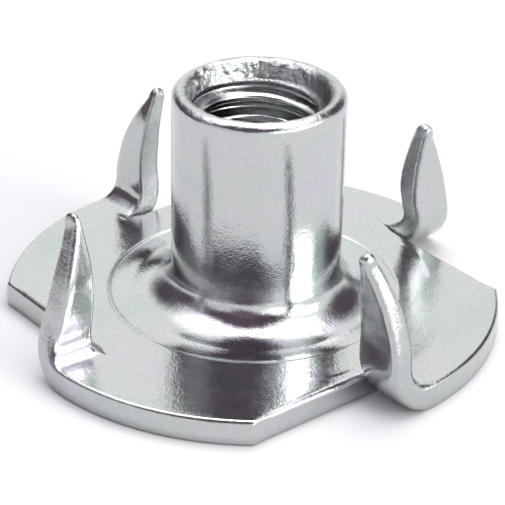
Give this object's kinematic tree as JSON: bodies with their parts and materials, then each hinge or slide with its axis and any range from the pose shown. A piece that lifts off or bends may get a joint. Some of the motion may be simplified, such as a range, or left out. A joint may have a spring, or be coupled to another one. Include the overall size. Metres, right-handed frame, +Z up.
{
  "type": "tee nut",
  "caption": "Pronged tee nut: a round flange with folded-up prongs around a drawn, internally threaded barrel, pressed into timber to take a bolt.",
  "frame": {"origin": "on the barrel axis at the flat underside of the flange", "axes": "+Z up the barrel toward its rim, the way the prongs point; +X along the bend line of one prong"},
  "size_m": [0.0228, 0.0228, 0.0112],
  "materials": {
    "plated_steel": "bright zinc plated, mirror-like with a fine plating grain"
  },
  "bodies": {
    "root": {"tee_nut": "plated_steel"}
  },
  "joints": []
}
